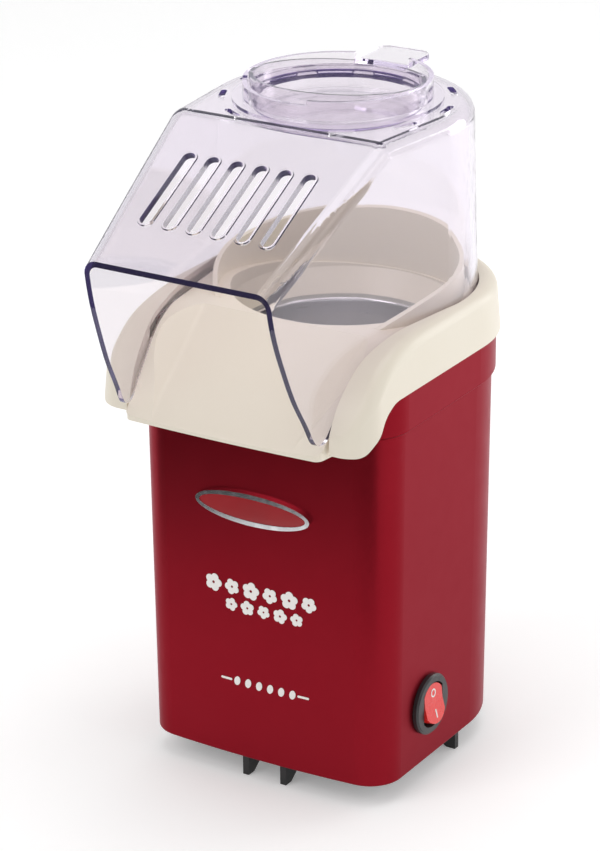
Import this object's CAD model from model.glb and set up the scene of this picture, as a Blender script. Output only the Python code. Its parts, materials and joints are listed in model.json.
"""Looks of the hot-air popcorn maker: materials, one detail piece, studio light and camera.

Metres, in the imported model's own frame: origin under the object, +Z up, chute towards -Y.
"""

import json
import math

import bpy
from mathutils import Matrix, Vector

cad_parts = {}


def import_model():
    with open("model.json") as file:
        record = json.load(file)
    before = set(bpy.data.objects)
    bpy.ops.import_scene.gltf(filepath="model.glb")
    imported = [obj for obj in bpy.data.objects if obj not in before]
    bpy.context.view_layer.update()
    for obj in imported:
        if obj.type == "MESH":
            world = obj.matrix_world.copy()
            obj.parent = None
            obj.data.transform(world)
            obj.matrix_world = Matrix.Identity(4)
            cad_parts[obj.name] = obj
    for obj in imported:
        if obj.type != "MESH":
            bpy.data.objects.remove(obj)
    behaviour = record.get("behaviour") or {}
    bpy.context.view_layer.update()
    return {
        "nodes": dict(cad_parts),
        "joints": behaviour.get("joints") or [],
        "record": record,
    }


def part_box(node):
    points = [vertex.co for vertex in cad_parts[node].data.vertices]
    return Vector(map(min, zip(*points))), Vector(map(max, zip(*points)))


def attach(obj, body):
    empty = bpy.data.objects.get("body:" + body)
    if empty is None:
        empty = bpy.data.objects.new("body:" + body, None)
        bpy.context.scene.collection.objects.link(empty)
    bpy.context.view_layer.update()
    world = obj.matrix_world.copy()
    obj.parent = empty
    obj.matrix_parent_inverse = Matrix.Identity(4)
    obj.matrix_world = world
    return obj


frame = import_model()
NODES = frame["nodes"]
MM = 0.001

CAMERA_TURN = math.radians(31.623)
CAMERA_RISE = math.radians(21.985)
CAMERA_ROLL = math.radians(-0.436)
CAMERA_PLACE = (0.6428, -1.04585, 0.6319)
LIGHT_TARGET = (0.0, 0.0, 0.13)

# How a pattern is scaled along X, Y and Z.
EVEN = (1.0, 1.0, 1.0)
LEVEL_STREAKS = (1.0, 1.0, 30.0)
LEVEL_RINGS = (0.05, 0.05, 1.0)


# ---------------------------------------------------------------- node helpers
class Shader:
    """A material under construction: a Principled shader and short ways to drive its sockets."""

    def __init__(self, name, colour, roughness, metallic=0.0):
        self.material = bpy.data.materials.new(name)
        self.material.use_nodes = True
        self.tree = self.material.node_tree
        self.main = self.tree.nodes["Principled BSDF"]
        self.output = self.tree.nodes["Material Output"]
        self.main.inputs["Base Color"].default_value = (*colour, 1.0)
        self.main.inputs["Roughness"].default_value = roughness
        self.main.inputs["Metallic"].default_value = metallic
        self.colour = colour
        self.relief = None

    def node(self, kind, **values):
        """A new node; each value is one of its properties or, failing that, one of its inputs."""
        made = self.tree.nodes.new(kind)
        for key, value in values.items():
            if hasattr(made, key):
                setattr(made, key, value)
            else:
                made.inputs[key.replace("_", " ")].default_value = value
        return made

    def link(self, start, end):
        self.tree.links.new(start, end)

    def set(self, **values):
        """Sets inputs of the Principled shader."""
        for key, value in values.items():
            self.main.inputs[key.replace("_", " ")].default_value = value
        return self

    def place(self, scale=EVEN):
        """Object coordinates in metres, scaled along each axis."""
        coords = self.node("ShaderNodeTexCoord")
        mapping = self.node("ShaderNodeMapping")
        mapping.inputs["Scale"].default_value = scale
        self.link(coords.outputs["Object"], mapping.inputs["Vector"])
        return mapping.outputs["Vector"]

    def noise(self, size, detail=3.0, scale=EVEN):
        """Noise whose blobs are about `size` metres across."""
        texture = self.node("ShaderNodeTexNoise", Scale=1.0 / size, Detail=detail)
        self.link(self.place(scale), texture.inputs["Vector"])
        return texture.outputs["Fac"]

    def spread(self, value, low, high):
        """Maps the range that noise mostly keeps to, 0.3 to 0.7, onto another."""
        ramp = self.node("ShaderNodeMapRange")
        ramp.inputs["From Min"].default_value = 0.3
        ramp.inputs["From Max"].default_value = 0.7
        ramp.inputs["To Min"].default_value = low
        ramp.inputs["To Max"].default_value = high
        self.link(value, ramp.inputs["Value"])
        return ramp.outputs["Result"]

    def vary_colour(self, value, other, share=1.0):
        """Blends the base colour towards another by a value."""
        first, second, result = 6, 7, 2  # the Mix node's sockets for colours
        mix = self.node("ShaderNodeMix", data_type="RGBA")
        mix.inputs[first].default_value = (*self.colour, 1.0)
        mix.inputs[second].default_value = (*other, 1.0)
        self.link(self.spread(value, 0.0, share), mix.inputs["Factor"])
        self.link(mix.outputs[result], self.main.inputs["Base Color"])
        return self

    def vary_roughness(self, value, low, high):
        self.link(self.spread(value, low, high), self.main.inputs["Roughness"])
        return self

    def bump(self, value, depth, strength=0.5):
        """Adds relief of a depth in metres, on top of any relief so far."""
        layer = self.node("ShaderNodeBump", Strength=strength, Distance=depth)
        self.link(value, layer.inputs["Height"])
        if self.relief is not None:
            self.link(self.relief, layer.inputs["Normal"])
        self.relief = layer.outputs["Normal"]
        self.link(self.relief, self.main.inputs["Normal"])
        return self

    def coat(self, weight, roughness):
        return self.set(Coat_Weight=weight, Coat_Roughness=roughness)


def plastic(name, colour, roughness, other, grain=0.6 * MM, depth=0.02 * MM, uneven=0.12):
    """Moulded plastic: slow colour drift, uneven gloss and a fine grain."""
    drift, patch = 30 * MM, 6 * MM
    made = Shader(name, colour, roughness)
    made.vary_colour(made.noise(drift), other, share=0.6)
    made.vary_roughness(made.noise(patch), roughness * (1 - uneven), roughness * (1 + uneven))
    made.bump(made.noise(grain, detail=2.0), depth, strength=0.25)
    return made


def metal(name, colour, roughness, other, scale=LEVEL_STREAKS):
    """Drawn or turned metal with fine level streaks, or cast metal where the pattern is even."""
    grain, depth = 2.0 * MM, 0.01 * MM
    made = Shader(name, colour, roughness, metallic=1.0)
    streaks = made.noise(grain, 4.0, scale)
    made.vary_colour(streaks, other, share=0.7)
    made.vary_roughness(streaks, roughness * 0.8, roughness * 1.25)
    made.bump(streaks, depth, strength=0.3)
    return made


# ---------------------------------------------------------------- materials
def red_shell():
    """Satin metallic red paint with fine flakes and a slight orange peel."""
    flake, peel, depth = 0.35 * MM, 1.1 * MM, 0.006 * MM
    drift, patch = 60 * MM, 8 * MM
    made = Shader("red_shell", (0.25, 0.0085, 0.017), 0.36, metallic=0.9)
    made.set(Specular_IOR_Level=0.03, Specular_Tint=(0.95, 0.72, 0.76, 1.0))
    flakes = made.node("ShaderNodeTexVoronoi", Scale=1.0 / flake)
    made.link(made.place(), flakes.inputs["Vector"])
    made.vary_colour(made.noise(drift), (0.26, 0.011, 0.020), share=0.8)
    made.vary_roughness(made.noise(patch), 0.34, 0.38)
    made.bump(flakes.outputs["Distance"], depth, strength=0.2)
    made.bump(made.noise(peel, detail=2.0), depth, strength=0.25)
    return made


def ivory():
    """Glossy ivory plastic, nearly even in tone."""
    smooth = dict(grain=2.0 * MM, depth=0.003 * MM, uneven=0.03)
    return plastic("ivory", (0.82, 0.755, 0.64), 0.36, (0.80, 0.735, 0.615), **smooth)


def clear_plastic():
    """Clear plastic with a violet tint and haze that deepen along the sheet; lamps shine through it."""
    wave, depth = 14 * MM, 0.05 * MM
    made = Shader("clear", (0.935, 0.912, 0.932), 0.03)
    made.set(Transmission_Weight=1.0, IOR=1.49)
    made.bump(made.noise(wave, detail=1.0), depth, strength=0.12)

    absorb = made.node("ShaderNodeVolumeAbsorption", Color=(0.64, 0.50, 0.80, 1.0), Density=30.0)
    haze = made.node("ShaderNodeEmission", Color=(0.45, 0.38, 0.95, 1.0), Strength=2.8)
    inside = made.node("ShaderNodeAddShader")
    made.link(absorb.outputs["Volume"], inside.inputs[0])
    made.link(haze.outputs["Emission"], inside.inputs[1])
    made.link(inside.outputs["Shader"], made.output.inputs["Volume"])

    rays = made.node("ShaderNodeLightPath")
    lamplight = made.node("ShaderNodeBsdfTransparent", Color=(0.99, 0.972, 0.95, 1.0))
    either = made.node("ShaderNodeMixShader")
    made.link(rays.outputs["Is Shadow Ray"], either.inputs[0])
    made.link(made.main.outputs["BSDF"], either.inputs[1])
    made.link(lamplight.outputs["BSDF"], either.inputs[2])
    made.link(either.outputs["Shader"], made.output.inputs["Surface"])
    return made


def spun_bowl():
    """Spun aluminium with fine level rings and a duller tone in places."""
    ring_grain, ring_depth, drift = 1.2 * MM, 0.02 * MM, 20 * MM
    made = Shader("aluminium", (0.74, 0.73, 0.76), 0.34, metallic=1.0)
    rings = made.noise(ring_grain, 3.0, LEVEL_RINGS)
    made.vary_colour(made.noise(drift), (0.60, 0.59, 0.60), share=0.5)
    made.vary_roughness(rings, 0.26, 0.40)
    made.bump(rings, ring_depth, strength=0.3)
    return made


def black_plastic():
    """Black moulded plastic with a marked grain."""
    return plastic("black_plastic", (0.010, 0.010, 0.011), 0.5, (0.016, 0.016, 0.017), depth=0.05 * MM)


def rocker_red():
    """Shiny red plastic under a thin clear coat."""
    return plastic("rocker_red", (0.80, 0.022, 0.018), 0.26, (0.74, 0.018, 0.016)).coat(0.3, 0.1)


def badge_red():
    """Dark red enamel under a clear coat."""
    return plastic("badge_red", (0.34, 0.005, 0.010), 0.22, (0.22, 0.003, 0.007)).coat(0.25, 0.05)


def mica():
    """Dull amber mica board with coarse flakes."""
    flaky = dict(grain=1.6 * MM, depth=0.06 * MM)
    return plastic("mica", (0.50, 0.44, 0.32), 0.34, (0.36, 0.30, 0.20), **flaky)


def magnet():
    """Sintered ferrite, matt black with a fine tooth."""
    sintered = dict(grain=0.3 * MM, depth=0.06 * MM)
    return plastic("magnet", (0.03, 0.03, 0.033), 0.7, (0.05, 0.05, 0.05), **sintered)


def lead_sleeve():
    """Woven glass sleeve over the hot leads."""
    woven = dict(grain=0.5 * MM, depth=0.2 * MM)
    return plastic("lead_sleeve", (0.62, 0.59, 0.52), 0.75, (0.48, 0.45, 0.38), **woven)


LOOKS = {
    "red_shell": red_shell(),
    "ivory": ivory(),
    "clear": clear_plastic(),
    "aluminium": spun_bowl(),
    "black_plastic": black_plastic(),
    "switch_black": plastic("switch_black", (0.022, 0.022, 0.024), 0.38, (0.03, 0.03, 0.032)),
    "rocker_red": rocker_red(),
    "white_print": plastic("white_print", (0.86, 0.84, 0.81), 0.45, (0.80, 0.78, 0.75)),
    "badge_chrome": metal("badge_chrome", (0.78, 0.78, 0.80), 0.12, (0.70, 0.70, 0.73), EVEN),
    "badge_red": badge_red(),
    "gasket": plastic("gasket", (0.52, 0.50, 0.46), 0.6, (0.45, 0.43, 0.40)),
    "steel": metal("steel", (0.56, 0.56, 0.58), 0.30, (0.44, 0.44, 0.45)),
    "nickel_wire": metal("nickel_wire", (0.34, 0.30, 0.27), 0.38, (0.20, 0.17, 0.20), EVEN),
    "mica": mica(),
    "housing_plastic": plastic("housing_plastic", (0.035, 0.034, 0.036), 0.5, (0.05, 0.048, 0.05)),
    "fan_plastic": plastic("fan_plastic", (0.55, 0.53, 0.48), 0.42, (0.48, 0.46, 0.41)),
    "magnet": magnet(),
    "copper": metal("copper", (0.62, 0.20, 0.09), 0.28, (0.46, 0.13, 0.05)),
    "brass_parts": metal("brass_parts", (0.66, 0.47, 0.18), 0.28, (0.52, 0.36, 0.13)),
    "board": plastic("board", (0.02, 0.10, 0.04), 0.4, (0.016, 0.075, 0.03)),
    "diode_black": plastic("diode_black", (0.012, 0.012, 0.012), 0.45, (0.02, 0.02, 0.02)),
    "thermostat_ceramic": plastic("thermostat_ceramic", (0.66, 0.63, 0.56), 0.5, (0.58, 0.55, 0.48)),
    "lead_sleeve": lead_sleeve(),
    "lead_pvc": plastic("lead_pvc", (0.03, 0.05, 0.20), 0.4, (0.025, 0.04, 0.16)),
}

slot_of = {part["node"]: part["material_slot"] for part in frame["record"]["subparts"]}
for name, node in NODES.items():
    look = LOOKS[slot_of[name]].material
    for slot in node.material_slots:
        slot.material = look


# ---------------------------------------------------------------- detail piece
def mesh_object(name, points, faces, material):
    """A mesh in the scene with one material."""
    mesh = bpy.data.meshes.new(name)
    mesh.from_pydata(points, [], faces)
    mesh.materials.append(material)
    made = bpy.data.objects.new(name, mesh)
    bpy.context.scene.collection.objects.link(made)
    return made


def ring(name, centre, radius, thickness, look, body):
    """A round bead lying level round a centre."""
    around, across = 96, 12
    points, faces = [], []
    for step in range(around):
        turn = 2 * math.pi * step / around
        here, beside = step * across, (step + 1) % around * across
        for part in range(across):
            swing = 2 * math.pi * part / across
            reach = radius + thickness * math.cos(swing)
            points.append((reach * math.cos(turn), reach * math.sin(turn), thickness * math.sin(swing)))
            above = (part + 1) % across
            faces.append((here + part, beside + part, beside + above, here + above))
    piece = mesh_object(name, points, faces, look)
    piece.data.shade_smooth()
    piece.location = centre
    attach(piece, body)


def chamber_bead():
    """The polished rolled edge round the popping chamber's mouth."""
    radius, thickness, sink = 38.2 * MM, 0.7 * MM, 0.2 * MM
    _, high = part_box("popping_chamber")
    axis = next(joint["pos_m"] for joint in frame["joints"] if joint["name"] == "fan_spin")
    centre = (axis[0], axis[1], high.z - sink)
    bright = metal("bright_rim", (0.92, 0.91, 0.93), 0.16, (0.86, 0.85, 0.88), EVEN)
    ring("chamber_bead", centre, radius, thickness, bright.material, "body")


# ---------------------------------------------------------------- studio
def turned(angle, distance, height):
    """A place at an angle in degrees from the camera's own direction."""
    heading = CAMERA_TURN + math.radians(angle)
    return (distance * math.sin(heading), -distance * math.cos(heading), height)


def backdrop():
    """A pale floor that curves up far behind the object and glows a little, like a light tent."""
    near, far, half, bend, top, steps = -3.0, 3.2, 4.5, 1.4, 3.5, 12
    profile = [(near, 0.0), (far - bend, 0.0)]
    for step in range(1, steps + 1):
        angle = math.radians(90 * step / steps)
        profile.append((far - bend + bend * math.sin(angle), bend - bend * math.cos(angle)))
    profile.append((far, top))
    points = [(x, y, z) for x in (-half, half) for y, z in profile]
    count = len(profile)
    faces = [(n, n + 1, count + n + 1, count + n) for n in range(count - 1)]
    white = Shader("backdrop", (0.97, 0.97, 0.97), 0.7)
    white.set(Specular_IOR_Level=0.2, Emission_Color=(1.0, 1.0, 1.0, 1.0), Emission_Strength=0.22)
    floor = mesh_object("backdrop", points, faces, white.material)
    floor.data.shade_smooth()
    floor.rotation_euler.z = CAMERA_TURN


def dark_flag():
    """A dark card on the floor on the camera's side, seen only in gloss: the shell's front mirrors it."""
    near, far, clearance = 0.27, 2.4, 2 * MM
    first, last, steps = -100.0, 20.0, 12
    points = []
    for step in range(steps + 1):
        angle = first + (last - first) * step / steps
        points += [turned(angle, near, clearance), turned(angle, far, clearance)]
    faces = [(2 * n, 2 * n + 1, 2 * n + 3, 2 * n + 2) for n in range(steps)]
    card = mesh_object("dark_flag", points, faces, Shader("flag", (0.02, 0.02, 0.02), 0.9).material)
    card.visible_camera = card.visible_transmission = False
    card.visible_diffuse = card.visible_shadow = False


def area_light(name, place, size, power):
    """A white soft box at a place, aimed at the object's middle; the power is in watts."""
    data = bpy.data.lights.new(name, "AREA")
    data.shape = "RECTANGLE"
    data.size, data.size_y = size
    data.energy = power
    lamp = bpy.data.objects.new(name, data)
    lamp.location = place
    lamp.rotation_euler = (Vector(LIGHT_TARGET) - Vector(place)).to_track_quat("-Z", "Y").to_euler()
    bpy.context.scene.collection.objects.link(lamp)


def lights():
    """Key at the left, weaker fill at the right, a broad top light and a low light along the right side."""
    area_light("key", turned(angle=-55, distance=1.5, height=1.3), size=(0.9, 1.2), power=7)
    area_light("fill", turned(angle=60, distance=1.5, height=0.8), size=(0.8, 1.2), power=2.9)
    area_light("top", (0.1, 0.2, 1.9), size=(1.4, 1.4), power=8)
    area_light("sheen", turned(angle=117, distance=1.2, height=0.25), size=(0.5, 0.9), power=4.2)


def world():
    """An even white surround."""
    made = bpy.data.worlds.new("studio")
    made.use_nodes = True
    surround = made.node_tree.nodes["Background"]
    surround.inputs["Color"].default_value = (1.0, 1.0, 1.0, 1.0)
    surround.inputs["Strength"].default_value = 0.50
    bpy.context.scene.world = made


def camera():
    """The photograph's viewpoint, with a long lens."""
    data = bpy.data.cameras.new("camera")
    data.sensor_width = 36.0
    data.lens = 148.75
    data.clip_end = 50.0
    view = bpy.data.objects.new("camera", data)
    view.matrix_world = (
        Matrix.Translation(CAMERA_PLACE)
        @ Matrix.Rotation(CAMERA_TURN, 4, "Z")
        @ Matrix.Rotation(math.pi / 2 - CAMERA_RISE, 4, "X")
        @ Matrix.Rotation(CAMERA_ROLL, 4, "Z")
    )
    bpy.context.scene.collection.objects.link(view)
    bpy.context.scene.camera = view


chamber_bead()
backdrop()
dark_flag()
world()
camera()
lights()
bpy.context.scene.view_settings.view_transform = "Standard"
